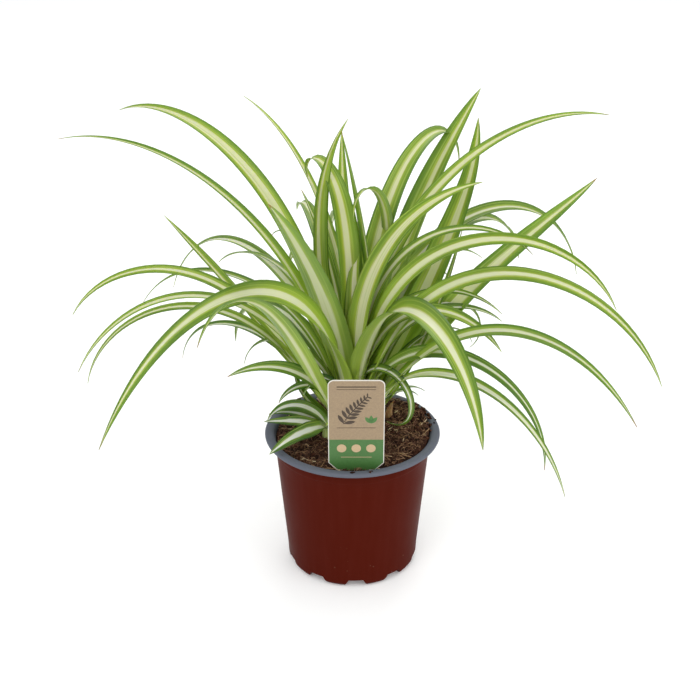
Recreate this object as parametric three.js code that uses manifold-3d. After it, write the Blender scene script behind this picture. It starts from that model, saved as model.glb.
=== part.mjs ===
// A spider plant in a thin two-colour nursery pot, with its soil and plant label.
// Millimetres, +Z up. The origin is on the pot's axis, at the level the pot stands on;
// -Y is the side with the label.
import * as THREE from 'three';
import { mergeVertices } from 'three/addons/utils/BufferGeometryUtils.js';
import Module from 'manifold-3d';

const wasm = await Module();
wasm.setup();

// ---------------------------------------------------------------- driving sizes

const POT = {
  height: 100,
  rimRadius: 60,        // outside of the lip
  lipWidth: 4.5,
  lipHeight: 3.3,
  shoulderRadius: 53.3, // wall just under the lip
  baseRadius: 45.4,
  baseRound: 5,         // radius where the wall turns into the floor
  wall: 1.2,
  sides: 60,
};
const CHANNELS = {      // drainage channels pressed up into the floor
  count: 10,
  turn: 3,              // degrees the front one stands right of -Y
  height: 6,
  topWidth: 10,
  footWidth: 17.5,
  inner: 24,            // distance of their closed end from the axis
  holeRadius: 3,
};
const SOIL = {
  level: 96.3,          // where it meets the wall
  mound: 3.2,           // how much higher it lies round the crown
  gap: 0.3,
  relief: 0.8,          // height of its lumps
  rings: [1, 0.9, 0.75, 0.58, 0.36], // shares of its radius at which the surface bends
  holeSides: 24,
};
const LABEL = {         // heights are from the level of the lip
  x: 2.4,
  y: -49.3,
  lean: 4.5,            // degrees its top leans outward
  width: 36.3,
  thickness: 0.7,
  top: 66.5,
  shoulder: 3,          // full width above this height
  chamfer: 6,
  cornerRadius: 4,
  stakeWidth: 16,
  stakePoint: 9,
  bottom: -33,
};
const CROWN = {
  x: 1, y: 6, radius: 13, root: 89, top: 135, rootRing: 4, leafRoot: 97,
  tufts: { left: [-3, 3], right: [4, 3], back: [1, 12] }, // where its leaves stand
};
const LEFT_SHOOT = { x: -17, y: -9, radius: 4, root: 89, top: 110, rootRing: 1.5, leafRoot: 106 };
const BLADE = {
  thickness: 1.25,
  steps: (length) => Math.round(5.5 + length / 55),
  tipWidth: 0.7,
  foldRatio: 0.2,
  fullRollAt: 0.4,      // share of the length at which the blade has rolled all its way
  rootWidth: 0.35,      // share of the full width
  widestAt: 0.4,
  taperRound: 0.8,      // under 1 keeps the tip fuller
  tipThinning: 0.45,    // share of the thickness lost on the way to the tip
};
const CORE_SIDES = 14;

// ---------------------------------------------------------------- leaves
// Each row is one leaf: the direction it grows in (degrees from +X), its rise at the root,
// its length, how far it bends over in all, how late the bend comes (1 is even), how far
// it sweeps sideways, how far the blade rolls, its width, and how late it tapers.

const LEFT_LEAVES = [
  [148, 82, 320, 105, 1.75, -6, -26, 14, 3.6],
  [157, 88, 330, 105, 1.1, -6, -16, 11, 1.4],
  [201, 96, 180, 39, 0.8, -9, 60, 22, 3.5],
  [162, 53, 190, 7, 1, 4, -10, 14, 2.7],
  [228, 95, 327, 149, 1.05, 10, -72, 18, 2],
  [188, 61, 251, 122, 3, 18, -52, 10.5, 2.2],
  [150, 83, 233, 143, 1.25, 5, -10, 8.5, 2.2],
  [211, 66, 264, 125, 2.15, 6, -36, 9.5, 1.8],
  [192, 64, 240, 141, 2.05, 10, -38, 9, 1.8],
  [231, 60, 235, 109, 3.95, 15, 26, 12.5, 3.2],
  [152, 57, 174, 138, 1.85, 2, -18, 9, 2.3],
  [211, 77, 120, 92, 1.3, -1, -58, 12.5, 2.4],
  [162, 84, 123, 166, 1.75, -4, -6, 8.5, 2.5],
  [194, 96, 77, 160, 1.45, 5, -56, 10, 2.2],
  [177, 94, 60, 139, 2.5, 5, -40, 9, 3],
  [174, 40, 59, -50, 2.2, 6, -30, 8, 3.8],
  [215, 92, 72, 170, 2.4, 0, 10, 7, 2.6],
];
const RIGHT_LEAVES = [
  [21, 96, 319, 110, 1.3, 2, 38, 11, 2.3],
  [42, 59, 228, -34, 3.9, -18, 30, 22, 2.1],
  [12, 48, 160, -32, 0.8, -1, 32, 9, 1.7],
  [6, 74, 243, 50, 0.55, 34, 24, 22, 2.2],
  [-19, 95, 286, 160, 1.5, 10, 62, 12.5, 2.2],
  [333, 83, 308, 149, 1.45, -7, 62, 12.5, 2.3],
  [2, 94, 231, 137, 2.1, -21, 50, 10, 2],
  [344, 96, 216, 87, 2, 21, 54, 21.5, 2],
  [299, 94, 265, 170, 1.35, -5, 20, 22, 2.8],
  [328, 94, 187, 142, 1.6, -6, 54, 11, 3.7],
  [329, 64, 277, 107, 1.55, -27, 46, 11, 2.2],
  [326, 94, 219, 186, 1.05, 10, 44, 13, 1.5],
  [321, 72, 223, 139, 1.15, -12, 24, 10, 2],
  [0, 96, 179, 135, 1.7, -27, 54, 10.5, 1.6],
  [16, 94, 157, 136, 1.4, -11, 26, 9.5, 3.2],
  [21, 76, 166, 221, 2.8, -9, 14, 8.5, 3],
  [9, 69, 123, 144, 3, 10, -4, 8, 2],
  [48, 38, 75, 80, 1.2, 0, -4, 7, 2.3],
  [15, 92, 94, 300, 1.6, 20, 0, 7, 2.6],
  [12, 68, 54, 118, 2, 0, 0, 6, 2.6],
];
const BACK_LEAVES = [
  [129, 74, 293, 141, 1.1, 2, -24, 10, 2.2],
  [126, 94, 264, 85, 1.4, 1, 14, 10, 2.1],
  [158, 79, 223, -48, 3.45, 8, -32, 16, 3.2],
  [12, 70, 213, -36, 0.55, -7, 12, 11, 4.6],
  [136, 90, 222, 205, 7, -10, -12, 20, 3.4],
  [123, 86, 169, 45, 1.5, 0, 0, 8.5, 3.4],
  [96, 60, 203, -16, 1.4, -1, -4, 17.5, 2.2],
  [207, 106, 217, 223, 5.75, 36, 20, 11, 3.1],
  [76, 96, 147, 34, 2.45, -9, 2, 14, 3.1],
  [126, 74, 171, 121, 3.45, 1, 4, 8, 2.9],
  [43, 87, 286, 168, 2.8, 19, 28, 20, 2],
  [52, 77, 255, 41, 0.95, 0, 12, 19.5, 4.2],
  [42, 87, 321, 164, 1.25, -9, 28, 12, 3.2],
  [57, 73, 159, 125, 1.75, -5, -2, 8.5, 2.5],
];
const LEFT_SHOOT_LEAVES = [
  [184, 24, 43, 40, 0.9, -20, -30, 9, 2.6],
  [147, 36, 44, 60, 0.8, 26, -35, 8.5, 2.6],
  [158, 84, 53, 148, 0.8, 22, -30, 9, 2.6],
  [234, 34, 51, 65, 0.8, -28, -35, 12.5, 2.6],
];
// The far side, which the view from -Y hides, is filled by a rule with seeded draws.
const FAR_LEAVES = {
  seed: 41,
  count: 12,
  azimuth: [34, 146],
  rise: [66, 88],
  length: [160, 250],
  bend: [120, 165],
  curl: [1.3, 2.2],
  sweep: [-12, 12],
  roll: [-20, 20],
  width: [9, 17],
  taperLate: [2, 3.4],
};

// ---------------------------------------------------------------- helpers

const radians = THREE.MathUtils.degToRad;

function seeded(seed) {
  let state = seed;
  return () => {
    state = (state * 16807) % 2147483647;
    return state / 2147483647;
  };
}

function toSolid(geometry) {
  const bare = geometry.clone();
  for (const name of Object.keys(bare.attributes)) {
    if (name !== 'position') bare.deleteAttribute(name);
  }
  const merged = mergeVertices(bare, 1e-4);
  return new wasm.Manifold(new wasm.Mesh({
    numProp: 3,
    vertProperties: new Float32Array(merged.attributes.position.array),
    triVerts: new Uint32Array(merged.index.array),
  }));
}

function toGeometry(solid) {
  const mesh = solid.getMesh();
  const geometry = new THREE.BufferGeometry();
  geometry.setAttribute('position', new THREE.BufferAttribute(mesh.vertProperties, 3));
  geometry.setIndex(new THREE.BufferAttribute(mesh.triVerts, 1));
  geometry.computeVertexNormals();
  return geometry;
}

// A closed outline of [radius, height] points turned round the Z axis.
function turned(outline, sides) {
  const points = outline.map(([radius, height]) => new THREE.Vector2(radius, height));
  return new THREE.LatheGeometry(points, sides).rotateX(Math.PI / 2);
}

function arc(centreR, centreZ, radius, fromDegrees, toDegrees, steps) {
  const points = [];
  for (let i = 0; i <= steps; i++) {
    const angle = radians(fromDegrees + (toDegrees - fromDegrees) * i / steps);
    points.push([centreR + radius * Math.cos(angle), centreZ + radius * Math.sin(angle)]);
  }
  return points;
}

// The outside radius of the pot's wall at a height, and the inside one.
function wallRadius(height) {
  const top = POT.height - POT.lipHeight;
  const share = (height - POT.baseRound) / (top - POT.baseRound);
  return POT.baseRadius + (POT.shoulderRadius - POT.baseRadius) * share;
}
const innerRadius = (height) => wallRadius(height) - POT.wall;

// ---------------------------------------------------------------- pot

// One drainage channel as a trapezoid bar along its radius, grown by a margin.
function channelBar(index, margin, outer) {
  const top = CHANNELS.topWidth / 2 + margin;
  const foot = CHANNELS.footWidth / 2 + margin;
  const section = new THREE.Shape();
  section.moveTo(-foot, -1);
  section.lineTo(foot, -1);
  section.lineTo(foot, 0);
  section.lineTo(top, CHANNELS.height + margin);
  section.lineTo(-top, CHANNELS.height + margin);
  section.lineTo(-foot, 0);
  const inner = CHANNELS.inner - margin;
  const bar = new THREE.ExtrudeGeometry(section, { depth: outer - inner, bevelEnabled: false });
  const turn = radians(CHANNELS.turn + index * 360 / CHANNELS.count);
  // the section's X lies across the channel, its Y up, and its depth runs outward to -Y
  return toSolid(bar.translate(0, 0, inner).rotateX(Math.PI / 2).rotateZ(turn));
}

function potGeometry() {
  const { height, rimRadius, lipHeight, lipWidth, baseRadius, baseRound, wall, sides } = POT;
  const bead = lipHeight / 2;
  const lipFoot = height - lipHeight;
  const foot = [[0, 0], ...arc(baseRadius - baseRound, baseRound, baseRound, -90, 0, 3)];
  const outline = [
    ...foot,
    [wallRadius(lipFoot), lipFoot],
    ...arc(rimRadius - bead, height - bead, bead, -90, 90, 5),
    [rimRadius - lipWidth, height],
    [rimRadius - lipWidth - 2, height - 0.9],
    [innerRadius(lipFoot), lipFoot - 0.5],
    [innerRadius(baseRound + 1), baseRound + 1],
    ...arc(baseRadius - baseRound, baseRound, baseRound - wall, 0, -90, 2).slice(1),
    [0, wall],
  ];
  let pot = toSolid(turned(outline, sides));
  // the channels' walls stay inside the outer face of the foot
  const above = 2 * baseRound;
  const core = toSolid(turned([...foot, [wallRadius(above), above], [0, above]], sides));
  const skin = wall - 0.2;
  for (let i = 0; i < CHANNELS.count; i++) {
    pot = pot.add(channelBar(i, skin, baseRadius - 1).intersect(core));
  }
  for (let i = 0; i < CHANNELS.count; i++) {
    pot = pot.subtract(channelBar(i, 0, baseRadius + 5));
    pot = pot.subtract(drainHole(i));
  }
  return toGeometry(pot);
}

function drainHole(index) {
  const { count, turn, holeRadius, inner, height } = CHANNELS;
  const distance = inner + holeRadius + 2;
  const angle = radians(turn + index * 360 / count - 90);
  const hole = new THREE.CylinderGeometry(holeRadius, holeRadius, 6, 10).rotateX(Math.PI / 2);
  hole.translate(distance * Math.cos(angle), distance * Math.sin(angle), height);
  return toSolid(hole);
}

// ---------------------------------------------------------------- soil

function soilGeometry() {
  const edge = innerRadius(SOIL.level) - SOIL.gap;
  const floor = POT.wall + SOIL.gap;
  const outline = [
    [0, floor],
    [innerRadius(POT.baseRound) - 4, floor],
    [innerRadius(POT.baseRound) - SOIL.gap - 0.2, POT.baseRound + 1.5],
    ...SOIL.rings.map((share) => [edge * share, soilHeight(share)]),
    [0, soilHeight(0)],
  ];
  const body = turned(outline, POT.sides);
  roughen(body, edge);
  let soil = toSolid(body);
  for (let i = 0; i < CHANNELS.count; i++) {
    soil = soil.subtract(channelBar(i, POT.wall + SOIL.gap, POT.baseRadius + 5));
  }
  for (const shoot of [CROWN, LEFT_SHOOT]) {
    const radius = (shoot.radius + SOIL.gap) / Math.cos(Math.PI / SOIL.holeSides);
    const deep = POT.height - shoot.root;
    const hole = new THREE.CylinderGeometry(radius, radius, 2 * deep, SOIL.holeSides);
    hole.rotateX(Math.PI / 2).translate(shoot.x, shoot.y, shoot.root - SOIL.gap + deep);
    soil = soil.subtract(toSolid(hole));
  }
  const slot = labelPlate(SOIL.gap).applyMatrix4(labelPlace());
  return toGeometry(soil.subtract(toSolid(slot)));
}

// Height of the smooth soil surface at a share of its radius.
function soilHeight(share) {
  return SOIL.level + SOIL.mound * (1 - share * share);
}

// Lumps on the soil's surface, from a few crossed waves; its edge stays where it is.
function roughen(geometry, edge) {
  const position = geometry.attributes.position;
  for (let i = 0; i < position.count; i++) {
    const x = position.getX(i);
    const y = position.getY(i);
    const z = position.getZ(i);
    const share = Math.hypot(x, y) / edge;
    if (z < SOIL.level - 1 || share > 0.99) continue;
    const wave = Math.sin(x * 0.31 + 1.3) * Math.cos(y * 0.27)
      + 0.6 * Math.sin(x * 0.53 - y * 0.47 + 0.7);
    position.setZ(i, z + SOIL.relief * wave * Math.min(1, share * 4));
  }
}

// ---------------------------------------------------------------- label

// The label's plate in its own frame, grown by a margin to cut its slot.
function labelPlate(margin) {
  const { width, top, shoulder, chamfer, cornerRadius, stakeWidth, stakePoint, bottom } = LABEL;
  const half = width / 2 + margin;
  const stake = stakeWidth / 2 + margin;
  const depth = LABEL.thickness + 2 * margin;
  const waist = shoulder - chamfer;
  const shape = new THREE.Shape();
  shape.moveTo(-2 - margin, bottom - margin);
  shape.lineTo(2 + margin, bottom - margin);
  shape.lineTo(stake, bottom + stakePoint);
  shape.lineTo(stake, waist);
  shape.lineTo(half - chamfer, waist);
  shape.lineTo(half, shoulder);
  shape.absarc(half - cornerRadius, top - cornerRadius, cornerRadius, 0, Math.PI / 2);
  shape.absarc(-half + cornerRadius, top - cornerRadius, cornerRadius, Math.PI / 2, Math.PI);
  shape.lineTo(-half, shoulder);
  shape.lineTo(-half + chamfer, waist);
  shape.lineTo(-stake, waist);
  shape.lineTo(-stake, bottom + stakePoint);
  const plate = new THREE.ExtrudeGeometry(shape, { depth, bevelEnabled: false, curveSegments: 5 });
  return plate.translate(0, 0, -depth / 2).rotateX(Math.PI / 2);
}

function labelPlace() {
  const place = new THREE.Matrix4().makeTranslation(LABEL.x, LABEL.y, POT.height);
  return place.multiply(new THREE.Matrix4().makeRotationX(radians(LABEL.lean)));
}

// ---------------------------------------------------------------- leaves and crowns

// Points along a leaf's arch, each with its direction and the way across the blade.
function leafStations(row, spot, shoot) {
  const [azimuth, rise, length, bend, curl, sweep, roll] = row;
  const steps = BLADE.steps(length);
  const start = radians(azimuth);
  const point = new THREE.Vector3(
    spot[0] + shoot.rootRing * Math.cos(start),
    spot[1] + shoot.rootRing * Math.sin(start),
    shoot.leafRoot);
  const stations = [];
  for (let i = 0; i <= steps; i++) {
    const share = i / steps;
    const along = heading(share, azimuth, rise, bend, curl, sweep);
    const across = new THREE.Vector3(-Math.sin(radians(azimuth + sweep * share)),
      Math.cos(radians(azimuth + sweep * share)), 0);
    across.applyAxisAngle(along, radians(roll) * Math.min(1, share / BLADE.fullRollAt));
    const up = new THREE.Vector3().crossVectors(along, across);
    stations.push({ share, point: point.clone(), across, up });
    const next = heading((i + 0.5) / steps, azimuth, rise, bend, curl, sweep);
    point.addScaledVector(next, length / steps);
  }
  return stations;
}

function heading(share, azimuth, rise, bend, curl, sweep) {
  const climb = radians(rise - bend * share ** curl);
  const turn = radians(azimuth + sweep * share);
  return new THREE.Vector3(
    Math.cos(climb) * Math.cos(turn), Math.cos(climb) * Math.sin(turn), Math.sin(climb));
}

// Half the blade's width along its length: a narrower root, then a long even taper.
function halfWidth(width, taperLate, share) {
  const { rootWidth, widestAt, taperRound } = BLADE;
  const grown = Math.sin(Math.PI / 2 * Math.min(1, share / widestAt));
  const root = rootWidth + (1 - rootWidth) * grown;
  const taper = Math.max(0, 1 - share ** taperLate) ** taperRound;
  return Math.max(BLADE.tipWidth, width * root * taper) / 2;
}

// One blade: four corners at each station, its two edges, the channel above, the keel below.
function bladeSolid(row, spot, shoot) {
  const [width, taperLate] = row.slice(7);
  const corners = [];
  for (const { share, point, across, up } of leafStations(row, spot, shoot)) {
    const half = halfWidth(width, taperLate, share);
    const fold = 2 * half * BLADE.foldRatio;
    const keel = BLADE.thickness * (1 - BLADE.tipThinning * share);
    corners.push(
      point.clone().addScaledVector(across, half).addScaledVector(up, fold),
      point.clone(),
      point.clone().addScaledVector(across, -half).addScaledVector(up, fold),
      point.clone().addScaledVector(up, -keel));
  }
  const index = [];
  const last = corners.length - 4;
  index.push(0, 3, 1, 1, 3, 2);
  index.push(last, last + 1, last + 3, last + 1, last + 2, last + 3);
  for (let i = 0; i < last; i += 4) {
    for (let k = 0; k < 4; k++) {
      const a = i + k;
      const b = i + (k + 1) % 4;
      // the diagonal below each half follows the one above it, so a twisted blade stays whole
      if (k < 2) index.push(a, b, a + 4, b, b + 4, a + 4);
      else index.push(a, b, b + 4, a, b + 4, a + 4);
    }
  }
  const geometry = new THREE.BufferGeometry();
  geometry.setAttribute('position', new THREE.Float32BufferAttribute(
    corners.flatMap((corner) => corner.toArray()), 3));
  geometry.setIndex(index);
  return toSolid(geometry);
}

// The thick base that the leaves of one shoot clasp.
function shootBase(shoot) {
  const { x, y, radius, root, top } = shoot;
  const tall = top - root;
  const outline = [
    [0, root],
    [radius * 0.92, root],
    [radius, root + tall * 0.06],
    [radius, root + tall * 0.35],
    [radius * 0.85, root + tall * 0.7],
    [radius * 0.45, root + tall * 0.95],
    [0, top],
  ];
  return toSolid(turned(outline, CORE_SIDES).translate(x, y, 0));
}

function shootGeometry(tufts, shoot) {
  let solid = shootBase(shoot);
  for (const [rows, spot] of tufts) {
    for (const row of rows) {
      solid = solid.add(bladeSolid(row, spot, shoot));
    }
  }
  // leaves that cross can close off a pocket; only the outer skin is kept
  const shells = solid.decompose().sort((a, b) => b.volume() - a.volume());
  return toGeometry(shells[0]);
}

function farLeaves() {
  const draw = seeded(FAR_LEAVES.seed);
  const between = ([low, high]) => low + (high - low) * draw();
  const rows = [];
  const [first, last] = FAR_LEAVES.azimuth;
  for (let i = 0; i < FAR_LEAVES.count; i++) {
    const azimuth = first + (last - first) * (i + draw()) / FAR_LEAVES.count;
    rows.push([azimuth, between(FAR_LEAVES.rise), between(FAR_LEAVES.length),
      between(FAR_LEAVES.bend), between(FAR_LEAVES.curl), between(FAR_LEAVES.sweep),
      between(FAR_LEAVES.roll), between(FAR_LEAVES.width), between(FAR_LEAVES.taperLate)]);
  }
  return rows;
}

// ---------------------------------------------------------------- the plant

const FINISH = {
  pot: { color: 0x6a2b1e, roughness: 0.45, metalness: 0 },
  soil: { color: 0x3b2a20, roughness: 1, metalness: 0 },
  plant_label: { color: 0xa88f74, roughness: 0.5, metalness: 0 },
  crown_leaves: { color: 0x7fa648, roughness: 0.4, metalness: 0 },
  left_shoot: { color: 0x5f8a3a, roughness: 0.4, metalness: 0 },
};

const plant = new THREE.Group();

function place(name, geometry) {
  const mesh = new THREE.Mesh(geometry, new THREE.MeshStandardMaterial(FINISH[name]));
  mesh.name = name;
  plant.add(mesh);
  return mesh;
}

place('pot', potGeometry());
place('soil', soilGeometry());
place('plant_label', labelPlate(0)).applyMatrix4(labelPlace());
place('crown_leaves', shootGeometry([
  [LEFT_LEAVES, CROWN.tufts.left],
  [RIGHT_LEAVES, CROWN.tufts.right],
  [[...BACK_LEAVES, ...farLeaves()], CROWN.tufts.back],
], CROWN));
place('left_shoot', shootGeometry([
  [LEFT_SHOOT_LEAVES, [LEFT_SHOOT.x, LEFT_SHOOT.y]],
], LEFT_SHOOT));

export default plant;
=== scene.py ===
"""A variegated spider plant in a thin two-colour nursery pot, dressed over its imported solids.

Sizes are in millimetres and become metres, by MM, where a mesh is made. +Z is up, -Y is the
side with the label, and the origin is under the middle of the pot.
"""
import math
import random

import bpy
from mathutils import Matrix, Quaternion, Vector, noise


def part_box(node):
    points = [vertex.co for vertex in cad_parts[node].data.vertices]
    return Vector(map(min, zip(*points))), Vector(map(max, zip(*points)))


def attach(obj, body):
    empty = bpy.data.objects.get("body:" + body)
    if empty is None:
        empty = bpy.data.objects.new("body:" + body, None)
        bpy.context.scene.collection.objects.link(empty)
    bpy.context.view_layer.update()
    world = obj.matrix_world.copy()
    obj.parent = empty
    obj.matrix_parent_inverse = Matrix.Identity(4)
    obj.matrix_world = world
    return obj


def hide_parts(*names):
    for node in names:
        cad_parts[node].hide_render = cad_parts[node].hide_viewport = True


bl_info = {
    "name": "Potted Spider Plant",
    "version": (1, 0, 0),
    "blender": (4, 5, 0),
    "location": "View3D > Sidebar > Plant",
    "description": "Builds a variegated spider plant in its nursery pot, piece by piece",
    "category": "Add Mesh",
}

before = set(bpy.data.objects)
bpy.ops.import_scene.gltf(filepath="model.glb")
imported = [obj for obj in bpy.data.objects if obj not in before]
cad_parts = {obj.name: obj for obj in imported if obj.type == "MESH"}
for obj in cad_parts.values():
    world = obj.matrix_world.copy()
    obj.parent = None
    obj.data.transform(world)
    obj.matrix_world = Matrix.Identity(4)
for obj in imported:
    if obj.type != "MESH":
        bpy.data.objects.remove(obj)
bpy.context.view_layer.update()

MM = 0.001

# ------------------------------------------------------------------ sizes of the plant
# Each row is one leaf: the direction it grows in (degrees from +X), its rise at the root,
# its length, how far it bends over in all, how late the bend comes (1 is even), how far
# it sweeps sideways, how far the blade rolls, its width, and how late it tapers.
# The rows were fitted to the photo by a scratch program, and some then set by hand.

LEFT_LEAVES = [
    (148, 82, 320, 105, 1.75, -6, -26, 14, 3.6),
    (157, 88, 330, 105, 1.1, -6, -16, 11, 1.4),
    (201, 96, 180, 39, 0.8, -9, 60, 22, 3.5),
    (162, 53, 190, 7, 1, 4, -10, 14, 2.7),
    (228, 95, 327, 149, 1.05, 10, -72, 18, 2),
    (188, 61, 251, 122, 3, 18, -52, 10.5, 2.2),
    (150, 83, 233, 143, 1.25, 5, -10, 8.5, 2.2),
    (211, 66, 264, 125, 2.15, 6, -36, 9.5, 1.8),
    (192, 64, 240, 141, 2.05, 10, -38, 9, 1.8),
    (231, 60, 235, 109, 3.95, 15, 26, 12.5, 3.2),
    (152, 57, 174, 138, 1.85, 2, -18, 9, 2.3),
    (211, 77, 120, 92, 1.3, -1, -58, 12.5, 2.4),
    (162, 84, 123, 166, 1.75, -4, -6, 8.5, 2.5),
    (194, 96, 77, 160, 1.45, 5, -56, 10, 2.2),
    (177, 94, 60, 139, 2.5, 5, -40, 9, 3),
    (174, 40, 59, -50, 2.2, 6, -30, 8, 3.8),
    (215, 92, 72, 170, 2.4, 0, 10, 7, 2.6),
]
RIGHT_LEAVES = [
    (21, 96, 319, 110, 1.3, 2, 38, 11, 2.3),
    (42, 59, 228, -34, 3.9, -18, 30, 22, 3.4),
    (12, 48, 160, -32, 0.8, -1, 32, 9, 1.7),
    (6, 74, 243, 50, 0.55, 34, 24, 22, 2.2),
    (-19, 95, 286, 160, 1.5, 10, 62, 12.5, 2.2),
    (333, 83, 308, 149, 1.45, -7, 62, 12.5, 2.3),
    (2, 94, 231, 137, 2.1, -21, 50, 10, 2),
    (344, 96, 216, 87, 2, 21, 54, 21.5, 2),
    (299, 94, 265, 170, 1.35, -5, 20, 22, 2.8),
    (328, 94, 187, 142, 1.6, -6, 54, 11, 3.7),
    (329, 64, 277, 107, 1.55, -27, 46, 11, 2.2),
    (326, 94, 219, 186, 1.05, 10, 44, 13, 1.5),
    (321, 72, 223, 139, 1.15, -12, 24, 10, 2),
    (0, 96, 179, 135, 1.7, -27, 54, 10.5, 1.6),
    (16, 94, 157, 136, 1.4, -11, 26, 9.5, 3.2),
    (21, 76, 166, 221, 2.8, -9, 14, 8.5, 3),
    (9, 69, 123, 144, 3, 10, -4, 8, 2),
    (48, 38, 75, 80, 1.2, 0, -4, 7, 2.3),
    (-45, 112, 135, 304, 1.55, 7, 35, 7, 3.4),
    (12, 68, 54, 118, 2, 0, 0, 6, 2.6),
]
BACK_LEAVES = [
    (129, 74, 293, 141, 1.1, 2, -24, 10, 2.2),
    (126, 94, 264, 85, 1.4, 1, 14, 10, 2.1),
    (158, 79, 223, -48, 3.45, 8, -32, 16, 3.2),
    (12, 70, 213, -36, 0.55, -7, 12, 11, 4.6),
    (136, 90, 222, 205, 7, -10, -12, 20, 3.4),
    (123, 86, 169, 45, 1.5, 0, 0, 8.5, 3.4),
    (96, 60, 203, -16, 1.4, -1, -4, 17.5, 2.2),
    (207, 106, 217, 223, 5.75, 36, 20, 11, 3.1),
    (76, 96, 147, 34, 2.45, -9, 2, 14, 3.1),
    (126, 74, 171, 121, 3.45, 1, 4, 8, 2.9),
    (43, 87, 286, 168, 2.8, 19, 28, 20, 2),
    (52, 77, 255, 41, 0.95, 0, 12, 19.5, 4.2),
    (42, 87, 321, 164, 1.25, -9, 28, 12, 3.2),
    (57, 73, 159, 125, 1.75, -5, -2, 8.5, 2.5),
]
LEFT_SHOOT_LEAVES = [
    (184, 24, 43, 40, 0.9, -20, -30, 9, 2.6),
    (147, 36, 44, 60, 0.8, 26, -35, 8.5, 2.6),
    (158, 84, 53, 148, 0.8, 22, -30, 9, 2.6),
    (234, 34, 51, 65, 0.8, -28, -35, 12.5, 2.6),
]
# The far side is filled by a rule with seeded draws, as the solids are.
FAR_LEAVES = {
    "seed": 41,
    "count": 12,
    "azimuth": (34, 146),
    "ranges": ((66, 88), (160, 250), (120, 165), (1.3, 2.2), (-12, 12), (-20, 20), (9, 17),
               (2, 3.4)),
}
# Where each shoot stands, the radius, foot and top of its heart, and where its leaves start.
CROWN = {"x": 1, "y": 6, "radius": 12, "foot": 95, "top": 131, "ring": 4, "leaf_root": 97}
TUFTS = {"left": (-3, 3), "right": (4, 3), "back": (1, 12)}
LEFT_SHOOT = {"x": -17, "y": -9, "radius": 3.8, "foot": 95, "top": 110, "ring": 1.5,
              "leaf_root": 106}
# Dried leaf bases at the foot of the crown: a row like a leaf's, and where it stands.
SHEATHS = [
    ((-70, 82, 23, 24, 1.5, 10, 10, 7, 2.4), (25, 12)),
    ((-55, 88, 18, 40, 1, -10, 35, 5, 3), (21, 10)),
    ((200, 70, 16, 70, 1.5, 0, 0, 4, 4), (-12, -3)),
]
SHEATH_RING = 0.5     # how far from its place a sheath starts
SHEATH_ROOT = 97      # height at which it starts

BLADE_STEPS = 44      # along a blade
BLADE_SPLITS = 8      # across it
ROUTE_PARTS = 4       # finer steps between two stations, so that the arch is true
FULL_ROLL_AT = 0.4    # share of the length at which the blade has rolled all its way
FOLD = 0.4            # rise of a blade's edges, as a share of its half width
ROOT_FOLD = 0.75      # how much deeper the root is folded, where it clasps the next leaf
THICKNESS = 0.55      # of a blade along its midrib, at the root
TALLEST = 218         # height of the crown over its roots


# ------------------------------------------------------------------ settings

class PotSettings(bpy.types.PropertyGroup):
    """Sizes and colours of the nursery pot."""

    height: bpy.props.FloatProperty(
        name="Height", description="From the underside to the top of the lip",
        default=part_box("pot")[1][2], unit="LENGTH")
    lip_radius: bpy.props.FloatProperty(
        name="Lip radius", description="Outside of the rolled lip",
        default=60 * MM, unit="LENGTH")
    shoulder_radius: bpy.props.FloatProperty(
        name="Shoulder radius", description="Outside of the wall just under the lip",
        default=53.9 * MM, unit="LENGTH")
    base_radius: bpy.props.FloatProperty(
        name="Base radius", description="Outside of the wall at the foot",
        default=45.4 * MM, unit="LENGTH")
    wall: bpy.props.FloatProperty(
        name="Wall", description="Thickness of the thin plastic",
        default=1.2 * MM, unit="LENGTH")
    outer_colour: bpy.props.StringProperty(
        name="Outside", description="Terracotta layer, sRGB hex", default="4C1104")
    inner_colour: bpy.props.StringProperty(
        name="Inside", description="Grey layer and lip, sRGB hex", default="61656F")


class LeafSettings(bpy.types.PropertyGroup):
    """Colours of the leaves."""

    green: bpy.props.StringProperty(
        name="Green", description="Margins of the upright leaves, sRGB hex", default="5D7C21")
    old_green: bpy.props.StringProperty(
        name="Old green", description="Margins of the low outer leaves, sRGB hex",
        default="2A4710")
    cream: bpy.props.StringProperty(
        name="Cream", description="Stripe of the upright leaves, sRGB hex", default="CBCCA2")
    white: bpy.props.StringProperty(
        name="White", description="Stripe of the low outer leaves, sRGB hex", default="D3D6CB")


class SoilSettings(bpy.types.PropertyGroup):
    """The bed of coir and bark that the plant stands in."""

    level: bpy.props.FloatProperty(
        name="Level", description="Height of the soil where it meets the wall",
        default=97.0 * MM, unit="LENGTH")
    mound: bpy.props.FloatProperty(
        name="Mound", description="How much higher it lies round the crown",
        default=2.8 * MM, unit="LENGTH")
    crumbs: bpy.props.IntProperty(
        name="Crumbs", description="How many crumbs lie on it", default=1100, min=0)
    fibres: bpy.props.IntProperty(
        name="Fibres", description="How many coir fibres lie on it", default=4200, min=0)


# ------------------------------------------------------------------ small tools

def linear(hex_colour):
    """An sRGB hex colour as a linear one, with full alpha."""
    channels = [int(hex_colour[i:i + 2], 16) / 255 for i in (0, 2, 4)]
    return [c / 12.92 if c <= 0.04045 else ((c + 0.055) / 1.055) ** 2.4 for c in channels] + [1]


def add_node(tree, kind, inputs=None, **settings):
    """Adds a shader node with its settings, and values or links for its inputs."""
    made = tree.nodes.new("ShaderNode" + kind)
    for name, value in settings.items():
        setattr(made, name, value)
    for key, value in (inputs or {}).items():
        if isinstance(value, bpy.types.Node):
            value = value.outputs[0]
        if isinstance(value, bpy.types.NodeSocket):
            tree.links.new(value, made.inputs[key])
        else:
            made.inputs[key].default_value = value
    return made


def new_material(name):
    """A material with an empty node tree; returns both."""
    material = bpy.data.materials.new(name)
    material.use_nodes = True
    tree = material.node_tree
    tree.nodes.clear()
    return material, tree


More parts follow.
